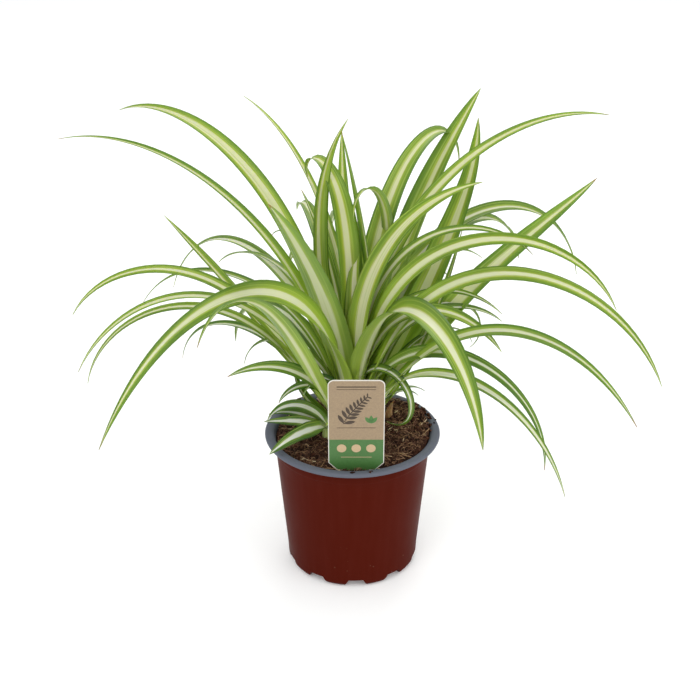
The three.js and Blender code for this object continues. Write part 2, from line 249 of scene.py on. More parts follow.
def set_ramp(ramp, stops):
    """Puts (position, hex colour) stops on a colour ramp node."""
    elements = ramp.color_ramp.elements
    while len(elements) < len(stops):
        elements.new(1)
    for element, (position, colour) in zip(elements, stops):
        element.position = position
        element.color = linear(colour)


def select_only(*pieces):
    """Selects these objects and makes the first the active one."""
    if bpy.context.mode != "OBJECT":
        bpy.ops.object.mode_set(mode="OBJECT")
    bpy.ops.object.select_all(action="DESELECT")
    for piece in pieces:
        piece.select_set(True)
    bpy.context.view_layer.objects.active = pieces[0]


def join(pieces, name):
    """Joins objects into one with a plain name."""
    select_only(*pieces)
    if len(pieces) > 1:
        bpy.ops.object.join()
    joined = bpy.context.object
    joined.name = joined.data.name = name
    return joined


def copy_of(template, coordinates):
    """A copy of an object with its own mesh, whose vertices lie at these coordinates in mm."""
    copy = template.copy()
    copy.data = template.data.copy()
    copy.data.vertices.foreach_set("co", [c * MM for point in coordinates for c in point])
    bpy.context.scene.collection.objects.link(copy)
    return copy


def discard(piece):
    """Removes a template and its mesh."""
    bpy.data.meshes.remove(piece.data)


def apply_modifier(piece, kind, **settings):
    """Adds a modifier with its settings and applies it."""
    select_only(piece)
    modifier = piece.modifiers.new(kind.title(), kind)
    for name, value in settings.items():
        setattr(modifier, name, value)
    bpy.ops.object.modifier_apply(modifier=modifier.name)


def finish_piece(piece, material, nodes=(), smooth_angle=None):
    """Shades a piece smooth, gives it its material and body, and hides the solids it stands for.
    """
    select_only(piece)
    if smooth_angle is None:
        bpy.ops.object.shade_smooth()
    else:
        bpy.ops.object.shade_smooth_by_angle(angle=math.radians(smooth_angle))
    if material is not None:
        piece.data.materials.clear()
        piece.data.materials.append(material)
    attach(piece, "root")
    if nodes:
        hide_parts(*nodes)


def turned(name, outline, steps):
    """Spins a closed outline of (radius, height) points in mm round the Z axis."""
    bpy.ops.object.select_all(action="DESELECT")
    bpy.ops.mesh.primitive_circle_add(vertices=len(outline), fill_type="NOTHING")
    piece = bpy.context.object
    piece.name = name
    for vertex, (radius, height) in zip(piece.data.vertices, outline):
        vertex.co = (radius * MM, 0, height * MM)
    bpy.ops.object.mode_set(mode="EDIT")
    bpy.ops.mesh.select_all(action="SELECT")
    bpy.ops.mesh.spin(steps=steps, angle=2 * math.pi, use_auto_merge=True,
                      center=(0, 0, 0), axis=(0, 0, 1))
    bpy.ops.mesh.select_all(action="SELECT")
    bpy.ops.mesh.remove_doubles(threshold=0.005 * MM)
    bpy.ops.mesh.normals_make_consistent(inside=False)
    bpy.ops.object.mode_set(mode="OBJECT")
    return piece


def arc(centre, radius, start, end, steps):
    """Points on a circle of an outline, between two angles in degrees."""
    angles = [math.radians(start + (end - start) * i / steps) for i in range(steps + 1)]
    return [(centre[0] + radius * math.cos(a), centre[1] + radius * math.sin(a)) for a in angles]


def smooth(value, low, high):
    """0 below low, 1 above high, and an S curve between."""
    share = min(1, max(0, (value - low) / (high - low)))
    return share * share * (3 - 2 * share)


# ------------------------------------------------------------------ materials

def leaf_material(colours):
    """Living leaf with a waxy skin: green margins that pale towards a cream or white band
    down the middle, olive lines along its edges, fine parallel veins and a pale base. Light
    passes through the thin blade, so it glows a little in the shade."""
    material, tree = new_material("variegated_leaf")
    chart = add_node(tree, "SeparateXYZ", {0: add_node(tree, "UVMap", uv_map="blade")})
    along, across = chart.outputs[0], chart.outputs[1]
    draws = add_node(tree, "Attribute", attribute_name="leaf_draws")
    tone, age, band = add_node(tree, "SeparateColor", {0: draws.outputs["Color"]}).outputs

    # streaks along the blade, as repeats along it and across it, a shift from leaf to leaf,
    # and their detail; on a blade 12 mm wide the lines are about 0.8 mm apart, the veins 0.2
    spot = add_node(tree, "CombineXYZ", {0: along, 1: across, 2: tone})
    patterns = []
    for repeats, detail in (((5.0, 1.5, 57.0), 2.0), ((1.0, 15.0, 57.0), 3.0),
                            ((0.8, 60.0, 57.0), 0.0)):
        stretched = add_node(tree, "VectorMath", {0: spot, 1: repeats}, operation="MULTIPLY")
        patterns.append(add_node(tree, "TexNoise", {"Vector": stretched, "Scale": 1.0,
                                                    "Detail": detail}))
    slow, lines, veins = patterns

    # the distance outward from the band's edge, as a share of the blade's width
    shift = add_node(tree, "Math", {0: tone, 1: 0.12, 2: -0.06}, operation="MULTIPLY_ADD")
    beside = add_node(tree, "Math", {0: across, 1: 0.5}, operation="SUBTRACT")
    off_band = add_node(tree, "Math", {0: beside, 1: shift}, operation="SUBTRACT")
    centre = add_node(tree, "Math", {0: off_band}, operation="ABSOLUTE")
    widest = add_node(tree, "Math", {0: band, 1: 0.11, 2: 0.10}, operation="MULTIPLY_ADD")
    taper = add_node(tree, "MapRange", {0: along, 1: 0.45, 2: 1.0, 3: 1.0, 4: 0.65},
                     interpolation_type="SMOOTHSTEP")
    half = add_node(tree, "Math", {0: widest, 1: taper}, operation="MULTIPLY")
    wander = add_node(tree, "Math", {0: slow, 1: 0.10, 2: -0.05}, operation="MULTIPLY_ADD")
    comb = add_node(tree, "Math", {0: lines, 1: 0.20, 2: -0.10}, operation="MULTIPLY_ADD")
    outward = add_node(tree, "Math", {0: centre, 1: half}, operation="SUBTRACT")
    ragged = add_node(tree, "Math", {0: wander, 1: comb}, operation="ADD")
    edge = add_node(tree, "Math", {0: outward, 1: ragged}, operation="ADD")
    in_band = add_node(tree, "MapRange", {0: edge, 1: 0.026, 2: -0.030},
                       interpolation_type="SMOOTHSTEP")

    # greens that pale towards the band, first on a young leaf, then on an old one
    margins = []
    for stops in (((0.0, "B3B850"), (0.05, "9FAE3C"), (0.13, "7F992B"), (0.34, colours.green)),
                  ((0.0, "8C8A40"), (0.03, "66832F"), (0.11, "486D20"),
                   (0.30, colours.old_green))):
        ramp = add_node(tree, "ValToRGB", {0: edge})
        set_ramp(ramp, stops)
        margins.append(ramp)
    green = add_node(tree, "MixRGB", {0: age, 1: margins[0], 2: margins[1]})
    stripe = add_node(tree, "MixRGB", {0: age, 1: linear(colours.cream),
                                       2: linear(colours.white)})
    tints = ((tone, 0.45, 1.0, 0.25, "4F8030"), (lines, 0.52, 0.64, 0.60, "A9B855"),
             (lines, 0.47, 0.36, 0.45, "43681B"), (slow, 0.40, 0.70, 0.30, "46691E"))
    for value, low, high, most, tint in tints:
        share = add_node(tree, "MapRange", {0: value, 1: low, 2: high, 4: most},
                         interpolation_type="SMOOTHSTEP")
        green = add_node(tree, "MixRGB", {0: share, 1: green, 2: linear(tint)})
    olive = add_node(tree, "MapRange", {0: lines, 1: 0.55, 2: 0.66, 4: 0.50},
                     interpolation_type="SMOOTHSTEP")
    stripe = add_node(tree, "MixRGB", {0: olive, 1: stripe, 2: linear("A3B062")})
    body = add_node(tree, "MixRGB", {0: in_band, 1: green, 2: stripe})

    # the rim is darker, the lower half of a young leaf is paler, the base has little green, the
    # tip dries first, and the underside is paler all over; each of these is laid over the last.
    # The paler young leaves and the pale base are partly their own colour and partly painted
    # light, a painted lift of the shade in the heart of the crown
    off_middle = add_node(tree, "Math", {0: beside}, operation="ABSOLUTE")
    rim = add_node(tree, "MapRange", {0: off_middle, 1: 0.44, 2: 0.50, 4: 0.35},
                   interpolation_type="SMOOTHSTEP")
    # painted light, in part: young upright leaves pale towards their roots, partly as young
    # growth does and partly as a painted lift of the shade inside the crown
    fresh = add_node(tree, "Math", {0: age, 1: -0.85, 2: 1.0}, operation="MULTIPLY_ADD")
    inner = add_node(tree, "MapRange", {0: along, 1: 0.58, 2: 0.06},
                     interpolation_type="SMOOTHSTEP")
    young_pale_and_painted_light = add_node(tree, "Math", {0: inner, 1: fresh}, operation="MULTIPLY")
    pale = add_node(tree, "MixRGB", {0: in_band, 1: linear("B2CD48"), 2: linear("DCE3AE")})
    # the base is the leaves' own whitish colour, set lighter still as painted light in the shade
    # at the foot of the crown
    base = add_node(tree, "MapRange", {0: along, 1: 0.14, 2: 0.0, 4: 0.65},
                    interpolation_type="SMOOTHSTEP")
    tip = add_node(tree, "MapRange", {0: along, 1: 0.97, 2: 0.995},
                   interpolation_type="SMOOTHSTEP")
    parched = add_node(tree, "MapRange", {0: tone, 1: 0.55, 2: 0.8},
                       interpolation_type="SMOOTHSTEP")
    dry = add_node(tree, "Math", {0: tip, 1: parched}, operation="MULTIPLY")
    under = add_node(tree, "Math", {0: draws.outputs["Alpha"], 1: 0.25}, operation="MULTIPLY")
    for share, tint in ((rim, linear("3C5A1C")), (young_pale_and_painted_light, pale), (base, linear("D3DCA8")),
                        (dry, linear("8A6238")), (under, linear("97A868"))):
        body = add_node(tree, "MixRGB", {0: share, 1: body, 2: tint})

    # cells of the skin are too fine to show, so the sparkle is drawn at 0.6 mm
    surface = add_node(tree, "TexCoord").outputs["Object"]
    specks = add_node(tree, "TexNoise", {"Vector": surface, "Scale": 1 / (0.6 * MM)})
    ridges = add_node(tree, "Math", {0: lines, 1: 0.16}, operation="MULTIPLY")
    height = add_node(tree, "Math", {0: specks, 1: 0.04, 2: ridges}, operation="MULTIPLY_ADD")
    height = add_node(tree, "Math", {0: veins, 1: 0.07, 2: height}, operation="MULTIPLY_ADD")
    bump = add_node(tree, "Bump", {"Height": height, "Distance": 0.9 * MM, "Strength": 0.7})
    gloss = add_node(tree, "MapRange", {0: slow, 1: 0.3, 2: 0.7, 3: 0.34, 4: 0.50})
    shader = add_node(tree, "BsdfPrincipled", {
        "Base Color": body, "Roughness": gloss, "Normal": bump, "IOR": 1.42,
        "Specular IOR Level": 0.38,
        "Subsurface Weight": 0.5, "Subsurface Radius": (1.0, 1.2, 0.3),
        "Subsurface Scale": 0.7 * MM})
    add_node(tree, "OutputMaterial", {0: shader})
    return material


def polypropylene(name, colour, roughness, streak):
    """Thin thermoformed polypropylene: satin, with faint draw streaks down the wall, a fine
    grain, and dust low on it."""
    material, tree = new_material(name)
    place = add_node(tree, "TexCoord").outputs["Object"]
    # draw streaks run down the wall about every 4 mm
    stretched = add_node(tree, "Mapping", {"Vector": place, "Scale": (1, 1, 0.06)})
    streaks = add_node(tree, "TexNoise", {"Vector": stretched, "Scale": 1 / (4 * MM),
                                          "Detail": 3.0})
    # the skin's grain is 0.4 mm
    grain = add_node(tree, "TexNoise", {"Vector": place, "Scale": 1 / (0.4 * MM)})
    clouds = add_node(tree, "TexNoise", {"Vector": place, "Scale": 1 / (35 * MM),
                                         "Detail": 2.0})
    base = linear(colour)
    lighter = [min(1, c * (1 + streak) + 0.004) for c in base[:3]] + [1]
    darker = [c * (1 - streak) for c in base[:3]] + [1]
    mix = add_node(tree, "MixRGB", {0: streaks, 1: darker, 2: lighter})
    spots = add_node(tree, "TexVoronoi", {"Vector": place, "Scale": 1 / (7 * MM)})
    dust = add_node(tree, "MapRange", {0: spots.outputs["Distance"], 1: 0.10, 2: 0.05,
                                       3: 0.0, 4: 0.35})
    high = add_node(tree, "SeparateXYZ", {0: place})
    low = add_node(tree, "MapRange", {0: high.outputs[2], 1: 40 * MM, 2: 6 * MM,
                                      3: 0.0, 4: 1.0})
    dusty = add_node(tree, "Math", {0: dust, 1: low}, operation="MULTIPLY")
    body = add_node(tree, "MixRGB", {0: dusty, 1: mix, 2: linear("8E7763")})
    shine = add_node(tree, "MapRange", {0: clouds, 1: 0.3, 2: 0.7, 3: roughness - 0.05,
                                        4: roughness + 0.07})
    height = add_node(tree, "Math", {0: grain, 1: streaks}, operation="ADD")
    bump = add_node(tree, "Bump", {"Height": height, "Distance": 0.05 * MM, "Strength": 0.5})
    shader = add_node(tree, "BsdfPrincipled", {
        "Base Color": body, "Roughness": shine, "Normal": bump, "IOR": 1.49,
        "Specular IOR Level": 0.02})
    add_node(tree, "OutputMaterial", {0: shader})
    return material


def coir_material():
    """Damp coir and peat: dark red-brown with crumbs of black and rust."""
    material, tree = new_material("damp_coir")
    place = add_node(tree, "TexCoord").outputs["Object"]
    coarse = add_node(tree, "TexNoise", {"Vector": place, "Scale": 1 / (5 * MM),
                                         "Detail": 6.0, "Roughness": 0.7})
    ramp = add_node(tree, "ValToRGB", {0: coarse})
    set_ramp(ramp, [(0.30, "0F0704"), (0.45, "2A160D"), (0.57, "46281A"), (0.75, "6A4836")])
    bump = add_node(tree, "Bump", {"Height": coarse, "Distance": 1.2 * MM, "Strength": 0.9})
    shader = add_node(tree, "BsdfPrincipled", {
        "Base Color": ramp, "Roughness": 0.92, "Normal": bump, "Specular IOR Level": 0.15})
    add_node(tree, "OutputMaterial", {0: shader})
    return material


def fibre_material():
    """Dry coir fibre: each one from dark rust to straw by its own draw."""
    material, tree = new_material("coir_fibre")
    draws = add_node(tree, "Attribute", attribute_name="draw")
    ramp = add_node(tree, "ValToRGB", {0: draws.outputs["Fac"]})
    set_ramp(ramp, [(0.0, "2E1B14"), (0.35, "5C3E2D"), (0.65, "86634B"), (0.86, "AA8762"),
                    (1.0, "DEC9A2")])
    shader = add_node(tree, "BsdfPrincipled", {
        "Base Color": ramp, "Roughness": 0.7, "Specular IOR Level": 0.2})
    add_node(tree, "OutputMaterial", {0: shader})
    return material


def sheath_material():
    """Dried leaf base: papery, tan with brown lines along it."""
    material, tree = new_material("dried_sheath")
    blade = add_node(tree, "UVMap", uv_map="blade")
    # its fibres are about 0.5 mm apart
    stretched = add_node(tree, "Mapping", {"Vector": blade, "Scale": (2, 18, 1)})
    lines = add_node(tree, "TexNoise", {"Vector": stretched, "Scale": 1.0, "Detail": 3.0})
    ramp = add_node(tree, "ValToRGB", {0: lines})
    set_ramp(ramp, [(0.35, "6B4A2B"), (0.5, "A07E4E"), (0.68, "CDB482")])
    bump = add_node(tree, "Bump", {"Height": lines, "Distance": 0.3 * MM, "Strength": 0.8})
    shader = add_node(tree, "BsdfPrincipled", {
        "Base Color": ramp, "Roughness": 0.6, "Normal": bump, "Subsurface Weight": 0.2,
        "Subsurface Scale": 1 * MM})
    add_node(tree, "OutputMaterial", {0: shader})
    return material


# ------------------------------------------------------------------ leaves

def heading(share, row):
    """The direction of a leaf's middle line at a share of its length."""
    azimuth, rise, _, bend, curl, sweep = row[:6]
    climb = math.radians(rise - bend * share ** curl)
    turn = math.radians(azimuth + sweep * share)
    return Vector((math.cos(climb) * math.cos(turn), math.cos(climb) * math.sin(turn),
                   math.sin(climb)))


def leaf_route(row, spot, ring, root):
    """The middle line: at each station its place, the way across and the way up."""
    azimuth, _, length, _, _, sweep, roll = row[:7]
    start = math.radians(azimuth)
    place = Vector((spot[0] + ring * math.cos(start), spot[1] + ring * math.sin(start), root))
    stations = []
    for step in range(BLADE_STEPS + 1):
        share = step / BLADE_STEPS
        along = heading(share, row)
        turn = math.radians(azimuth + sweep * share)
        across = Vector((-math.sin(turn), math.cos(turn), 0))
        across.rotate(Quaternion(along, math.radians(roll) * min(1, share / FULL_ROLL_AT)))
        stations.append((place.copy(), across, along.cross(across)))
        for part in range(ROUTE_PARTS):
            middle = (step + (part + 0.5) / ROUTE_PARTS) / BLADE_STEPS
            place += heading(middle, row) * (length / BLADE_STEPS / ROUTE_PARTS)
    return stations


def half_width(width, late, share):
    """Half the blade's width: a clasping root, then a long even taper to the tip."""
    grown = math.sin(math.pi / 2 * min(1, share / 0.4))
    root = 0.5 + 0.5 * grown
    taper = max(0, 1 - share ** late) ** 0.8
    return max(0.35, width * root * taper) / 2


def blade_template():
    """A flat blade one long and two wide, as a thin closed shell with a map along it."""
    bpy.ops.object.select_all(action="DESELECT")
    bpy.ops.mesh.primitive_grid_add(x_subdivisions=BLADE_STEPS, y_subdivisions=BLADE_SPLITS,
                                    size=2, calc_uvs=False)
    blade = bpy.context.object
    for vertex in blade.data.vertices:
        vertex.co.x = (vertex.co.x + 1) / 2
    apply_modifier(blade, "SOLIDIFY", thickness=1, offset=-1)
    chart = blade.data.uv_layers.new(name="blade")
    strip = blade.data.uv_layers.new(name="OFBake")
    for face in blade.data.polygons:
        for index in face.loop_indices:
            x, y, z = blade.data.vertices[blade.data.loops[index].vertex_index].co
            chart.data[index].uv = (x, (y + 1) / 2)
            strip.data[index].uv = strip_place(face.normal, x, y, z)
    blade.data.attributes.new("leaf_draws", "FLOAT_COLOR", "POINT")
    return blade


def strip_place(normal, x, y, z):
    """A corner's place on a blade's strip: its upper side fills the lower half, its
    underside the upper half, and the thin rim lies in the margins between them."""
    margin = 0.02
    if abs(normal.z) > 0.5:
        side = 0.5 if normal.z < 0 else 0
        return (margin + (1 - 2 * margin) * x, side + margin + (0.5 - 2 * margin) * (y + 1) / 2)
    depth = 0.25 if z > -0.5 else 0.75
    if abs(normal.y) > 0.5:
        return (margin + (1 - 2 * margin) * x, margin * depth + (0.5 - margin if y > 0 else 0))
    return (margin * depth + (1 - margin if x > 0.5 else 0), 0.25 + 0.1 * y)


def leaf(template, row, spot, ring, root, draw):
    """One leaf: the template laid along its arch, with its own small wanders."""
    width, late = row[7:9]
    length = row[2]
    route = leaf_route(row, spot, ring, root)
    reach = (max(place.z for place, _, _ in route) - root) / TALLEST
    # the lower a leaf hangs, the older it is
    age = min(1, max(0, 1.12 - 1.35 * reach + draw.uniform(-0.12, 0.12)))
    tone, band = draw.random(), draw.random()
    sway = draw.uniform(-1, 1) * min(2.2, length * 0.009)
    swing = draw.uniform(1.2, 2.4) * math.pi
    waves = draw.uniform(2.5, 5) * math.pi
    phase = draw.uniform(0, 2 * math.pi)
    ripple = draw.uniform(0.02, 0.07) * width
    points = []
    draws = []
    for vertex in template.data.vertices:
        share, side, depth = vertex.co
        place, across, up = route[round(share * BLADE_STEPS)]
        half = half_width(width, late, share)
        # the root is folded deep, as it clasps the next leaf; further out the V is round
        fold = FOLD + ROOT_FOLD * (1 - smooth(share, 0.0, 0.30))
        rise = half * fold * abs(side) ** (1.25 + 0.5 * smooth(share, 0.1, 0.5))
        rise += ripple * abs(side) ** 2 * math.sin(waves * share + phase + side) * smooth(
            share, 0.1, 0.4) * (half / width * 2)
        thick = (THICKNESS - 0.25 * abs(side) ** 1.5) * (1 - 0.5 * share)
        drift = sway * math.sin(swing * share + phase) * smooth(share, 0.08, 0.5)
        edge = half * side * (1 - 0.10 * fold * abs(side)) + drift
        points.append(place + across * edge + up * (rise + depth * thick))
        draws.extend((tone, age, band, 1.0 if depth < -0.5 else 0.0))
    made = copy_of(template, points)
    made.data.attributes["leaf_draws"].data.foreach_set("color", draws)
    return made


def far_rows():
    """The leaves of the far side, by the same seeded draws as the solids."""
    state = FAR_LEAVES["seed"]

    def draw():
        nonlocal state
        state = state * 16807 % 2147483647
        return state / 2147483647

    rows = []
    first, last = FAR_LEAVES["azimuth"]
    for index in range(FAR_LEAVES["count"]):
        azimuth = first + (last - first) * (index + draw()) / FAR_LEAVES["count"]
        rest = [low + (high - low) * draw() for low, high in FAR_LEAVES["ranges"]]
        rows.append((azimuth, *rest))
    return rows


def bunch(name, rows, spot, ring, root, seed):
    """All the leaves of one tuft, as one piece."""
    template = blade_template()
    draw = random.Random(seed)
    made = [leaf(template, row, spot, ring, root, draw) for row in rows]
    discard(template)
    for index, piece in enumerate(made):
        # each blade's strip gets its own row of the shared map
        for corner in piece.data.uv_layers["OFBake"].data:
            corner.uv.y = (index + corner.uv.y) / len(made)
    return join(made, name)


# ------------------------------------------------------------------ operators

# The drainage channels pressed up into the pot's floor, in mm: the first one's direction in
# degrees, their height, where they start, their width at the roof and at the foot, and the
# radius, reach and depth of the cutter for the hole through each roof.
CHANNELS = {"count": 10, "turn": 3, "height": 6, "inner": 24, "roof": 10, "foot": 17.5,
            "hole_radius": 3, "hole_away": 29, "hole_cut": 6}


class PLANT_OT_pot(bpy.types.Operator):
    """Turns the pot, presses its drainage channels and rolls its lip"""

    bl_idname = "plant.pot"
    bl_label = "Nursery pot"

    def execute(self, context):
        sizes = context.scene.plant_pot
        height, lip = sizes.height / MM, sizes.lip_radius / MM
        wall, base = sizes.wall / MM, sizes.base_radius / MM
        shoulder = sizes.shoulder_radius / MM
        lip_height, lip_width, base_round, flat_floor = 3.3, 4.5, 5, 18
        bead = lip_height / 2
        lip_foot = height - lip_height

        def wall_at(level):
            share = (level - base_round) / (lip_foot - base_round)
            # a stacking ring stands out 0.3 mm a little under the lip
            ring = 0.3 * smooth(level, ring_level + 0.5, ring_level - 0.5)
            return base + (shoulder - base) * share - ring

        ring_level = height - 12
        levels = [12, 30, 55, 78]
        levels += [ring_level + step for step in (-0.6, -0.2, 0.2, 0.7, 4)] + [lip_foot - 1.2]
        foot = [(0, 0), (flat_floor, 0)]
        foot += arc((base - base_round, base_round), base_round, -90, 0, 8)
        outline = foot + [(wall_at(level), level) for level in levels]
        outline += arc((shoulder + 1, lip_foot - 1), 1, 180, 90, 4)
        outline += arc((lip - bead, height - bead), bead, -90, 90, 12)
        outline += [(lip - lip_width + 1, height + 0.05), (lip - lip_width, height - 0.1)]
        outline += [(lip - lip_width - 1.2, height - 0.6), (lip - lip_width - 2, height - 1.6)]
        outline += [(wall_at(level) - wall, level) for level in (height - 4.5, 60, 30, 9)]
        outline += arc((base - base_round, base_round), base_round - wall, 0, -90, 6)
        outline += [(flat_floor, wall), (0, wall)]
        pot = turned("nursery_pot", outline, 180)

        turns = [i * 360 / CHANNELS["count"] + CHANNELS["turn"] for i in range(CHANNELS["count"])]
        covers = [channel_bar(turn, wall - 0.2, base - 1, 0.0) for turn in turns]
        cover = join(covers, "channel_covers")
        # the channels' walls stay inside the outer face of the foot
        core = turned("foot_core", foot + [(wall_at(12), 12), (0, 12)], 180)
        carve(cover, core, "INTERSECT")
        carve(pot, cover, "UNION")
        bars = [channel_bar(turn, 0, base + 5, -1.0) for turn in turns]
        holes = [drain_hole(turn) for turn in turns]
        for group in (bars, holes):
            carve(pot, join(group, "channel_cutter"), "DIFFERENCE")

        terracotta = polypropylene("terracotta_polypropylene", sizes.outer_colour, 0.42, 0.07)
        grey = polypropylene("grey_polypropylene", sizes.inner_colour, 0.40, 0.05)
        finish_piece(pot, terracotta, ["pot"], smooth_angle=32)
        pot.data.materials.append(grey)
        for face in pot.data.polygons:
            outward = face.normal.x * face.center.x + face.normal.y * face.center.y
            inside = outward < 0 and face.center.z > 20 * MM
            if inside or face.center.z > (lip_foot - 0.02) * MM:
                face.material_index = 1
        return {"FINISHED"}


def carve(piece, tool, operation):
    """Joins a tool to a piece or cuts it out; the tool's own parts may overlap."""
    apply_modifier(piece, "BOOLEAN", operation=operation, object=tool, solver="EXACT",
                   use_self=True)
    discard(tool)


def channel_bar(turn, margin, outer, foot_level):
    """A trapezoid bar along a radius of the floor, which forms one drainage channel."""
    roof, foot = CHANNELS["roof"] / 2 + margin, CHANNELS["foot"] / 2 + margin
    inner = CHANNELS["inner"] - margin
    bpy.ops.object.select_all(action="DESELECT")
    bpy.ops.mesh.primitive_cube_add(size=2)
    bar = bpy.context.object
    for vertex in bar.data.vertices:
        x, y, z = vertex.co
        wide = roof if z > 0 else foot
        level = CHANNELS["height"] + margin if z > 0 else foot_level
        vertex.co = (x * wide * MM, -(outer if y < 0 else inner) * MM, level * MM)
    bar.data.transform(Matrix.Rotation(math.radians(turn), 4, "Z"))
    return bar


def drain_hole(turn):
    """A peg that cuts one drain hole through a channel's roof."""
    bpy.ops.object.select_all(action="DESELECT")
    bpy.ops.mesh.primitive_cylinder_add(vertices=32, radius=CHANNELS["hole_radius"] * MM,
                                        depth=CHANNELS["hole_cut"] * MM)
    peg = bpy.context.object
    peg.data.transform(Matrix.Translation((0, -CHANNELS["hole_away"] * MM,
                                           CHANNELS["height"] * MM)))
    peg.data.transform(Matrix.Rotation(math.radians(turn), 4, "Z"))
    return peg


# The soil, in mm: the radius of the bed, how many rings its top is cut into, the profile of
# its underside, its lumps as rows of size, seed and height, and the heap beside the crown.
SOIL = {"edge": 52.4, "rings": 46, "underside": [(0, 5.9), (39, 5.9), (43.2, 9)]}
LUMPS = ((9, 3.1, 1.6), (3.2, 8.7, 1.2))
HEAP = {"x": 43, "y": 22, "spread": 17, "height": 4.5}
# What lies on it. A crumb or fibre is its least size and up to its spread more; a straw is a
# long pale fibre, which curves and humps less.
CRUMB = {"least": 0.45, "spread": 1.7, "length": (0.7, 1.5), "height": (0.5, 0.9)}
FIBRE = {"least": 2.5, "spread": 9, "thick": (0.2, 0.55), "curve": 1.6, "tilt": (-0.15, 0.45),
         "hump": 1.7, "lift": 0.3}
STRAW = {"share": 0.02, "length": (6, 14), "thick": (0.5, 0.9), "ease": 0.3}


def soil_height(x, y, level, mound, edge):
    """Height of the bed at a place, in mm: a low mound with lumps of two sizes."""
    share = min(1, math.hypot(x, y) / edge)
    lumps = sum(noise.noise(Vector((x / size, y / size, seed))) * tall
                for size, seed, tall in LUMPS)
    lumps *= 1 - 0.5 * share ** 6
    # the right and far sides lie higher than the near left, most of all in one heap
    lean = 0.038 * x + 0.012 * y
    return level + mound * (1 - share * share) + lumps + lean + HEAP["height"] * heap(x, y)


def heap(x, y):
    """How much of the heap at the right of the crown is felt at a place, from 0 to 1."""
    away = (x - HEAP["x"]) ** 2 + (y - HEAP["y"]) ** 2
    return math.exp(-away / (2 * HEAP["spread"] ** 2))


class PLANT_OT_soil(bpy.types.Operator):
    """Lays the bed of coir with its crumbs, fibres and straws"""

    bl_idname = "plant.soil"
    bl_label = "Soil"

    def execute(self, context):
        soil = context.scene.plant_soil
        level, mound = soil.level / MM, soil.mound / MM
        edge, rings = SOIL["edge"], SOIL["rings"]
        outline = SOIL["underside"] + [(edge - 0.3, level - 3)]
        outline += [(edge * (1 - i / rings), level) for i in range(rings)] + [(0, level)]
        bed = turned("soil_bed", outline, 150)
        for vertex in bed.data.vertices:
            x, y, z = (c / MM for c in vertex.co)
            if z > level - 0.5:
                vertex.co.z = soil_height(x, y, level, mound, edge) * MM
        finish_piece(bed, coir_material(), ["soil"])

        draw = random.Random(7)
        surface = (level, mound, edge)
        crumbs = scatter_crumbs(draw, soil.crumbs, surface)
        finish_piece(crumbs, bed.data.materials[0], smooth_angle=40)
        fibres = scatter_fibres(draw, soil.fibres, surface)
        finish_piece(fibres, fibre_material())
        return {"FINISHED"}


# Crumbs that fell on the lip: place and size in mm.
STRAY_CRUMBS = [
    (-0.4, -57.6, 100.2, 1.1), (0.9, -57.2, 100.2, 0.7), (11.3, -57, 100.2, 0.9),
    (12.6, -55.6, 100.1, 0.6), (-41, 40, 100.2, 1.0), (-46, 33, 100.2, 1.4),
    (-38, 42.5, 100.2, 1.3), (-34, 46, 100.2, 0.9), (-49.5, 28, 100.2, 0.8),
    (54, 15, 100.4, 1.6), (56.5, 8, 100.3, 0.7), (53, 19, 100.7, 1.4), (49, 26, 101, 2.1),
    (45, 33, 101, 1.9), (50.5, 22, 101, 1.7), (53.8, 6, 99.6, 1.5), (53.4, -1, 99.2, 1.2),
    (41, 37, 100.8, 1.8), (57.6, 12.5, 100.3, 0.6),
]


def scatter_crumbs(draw, count, surface):
    """Crumbs of peat and bark: a few rough lumps, copied all over the bed."""
    lumps = []
    for seed in range(4):
        bpy.ops.object.select_all(action="DESELECT")
        bpy.ops.mesh.primitive_ico_sphere_add(subdivisions=2, radius=1)
        lump = bpy.context.object
        for vertex in lump.data.vertices:
            rough = 1 + 0.8 * noise.noise(vertex.co * 1.3 + Vector((seed * 7.3, 0, 0)))
            vertex.co *= rough
        lumps.append(lump)
    made = []
    for _ in range(count):
        lump = draw.choice(lumps)
        away, turn = surface[2] * 0.985 * math.sqrt(draw.random()), draw.uniform(0, 2 * math.pi)
        x, y = away * math.cos(turn), away * math.sin(turn)
        size = CRUMB["least"] + CRUMB["spread"] * draw.random() ** 2.2
        shape = Matrix.Diagonal((size * draw.uniform(*CRUMB["length"]), size,
                                 size * draw.uniform(*CRUMB["height"]))).to_4x4()
        spin = Matrix.Rotation(draw.uniform(0, 6.28), 4, "Z") @ Matrix.Rotation(
            draw.uniform(-0.6, 0.6), 4, "X")
        place = Matrix.Translation((x, y, soil_height(x, y, *surface) + size * 0.1))
        move = place @ spin @ shape
        made.append(copy_of(lump, [move @ vertex.co for vertex in lump.data.vertices]))
    for x, y, z, size in STRAY_CRUMBS:
        lump = draw.choice(lumps)
        spin = Matrix.Rotation(draw.uniform(0, 6.28), 4, "Z")
        move = Matrix.Translation((x, y, z)) @ spin @ Matrix.Diagonal((size, size, size * 0.7, 1))
        made.append(copy_of(lump, [move @ vertex.co for vertex in lump.data.vertices]))
    for lump in lumps:
        discard(lump)
    return join(made, "soil_crumbs")


def fibre_template():
    """A straight three-sided thread one long, in seven lengths."""
    bpy.ops.object.select_all(action="DESELECT")
    bpy.ops.mesh.primitive_cylinder_add(vertices=3, radius=0.5, depth=1, location=(0, 0, 0))
    thread = bpy.context.object
    bpy.ops.object.mode_set(mode="EDIT")
    bpy.ops.mesh.select_mode(type="EDGE")
    bpy.ops.mesh.select_all(action="DESELECT")
    bpy.ops.object.mode_set(mode="OBJECT")
    for edge in thread.data.edges:
        low, high = (thread.data.vertices[i].co for i in edge.vertices)
        edge.select = abs(low.z - high.z) > 0.5
    bpy.ops.object.mode_set(mode="EDIT")
    bpy.ops.mesh.subdivide(number_cuts=6)
    bpy.ops.object.mode_set(mode="OBJECT")
    thread.data.attributes.new("draw", "FLOAT", "POINT")
    return thread


